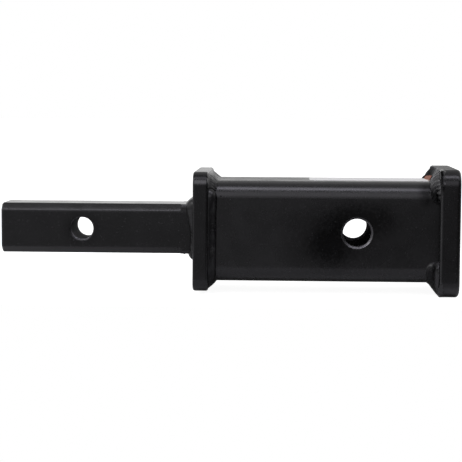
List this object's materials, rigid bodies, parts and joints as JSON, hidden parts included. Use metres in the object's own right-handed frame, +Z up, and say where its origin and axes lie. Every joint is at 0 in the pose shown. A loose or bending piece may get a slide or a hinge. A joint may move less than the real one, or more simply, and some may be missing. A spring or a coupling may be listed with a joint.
{
  "type": "hitch receiver adapter",
  "caption": "Welded hitch adapter: a narrow square shank with a cross hole, an end plate, and a wider square receiver tube with a pin hole and a collar round its mouth.",
  "frame": {"origin": "centre of the receiver tube's cross hole, on the axis that the shank and the tube share", "axes": "+X along the part from the shank to the open mouth, +Y along the pin holes, +Z up"},
  "size_m": [0.29, 0.0798, 0.0798],
  "materials": {
    "powder_coat": "black powder coat, semi-gloss with a fine orange peel",
    "weld_coat": "black powder coat over weld ripples",
    "vinyl": "satin white vinyl with a dull orange end field, blank"
  },
  "bodies": {
    "root": {"shank": "powder_coat", "end_plate": "powder_coat", "receiver_tube": "powder_coat", "mouth_collar": "powder_coat", "shank_weld": "weld_coat", "plate_weld_top": "weld_coat", "plate_weld_front": "weld_coat", "plate_weld_bottom": "weld_coat", "plate_weld_rear": "weld_coat", "collar_weld_top": "weld_coat", "collar_weld_bottom": "weld_coat", "label": "vinyl"}
  },
  "joints": []
}
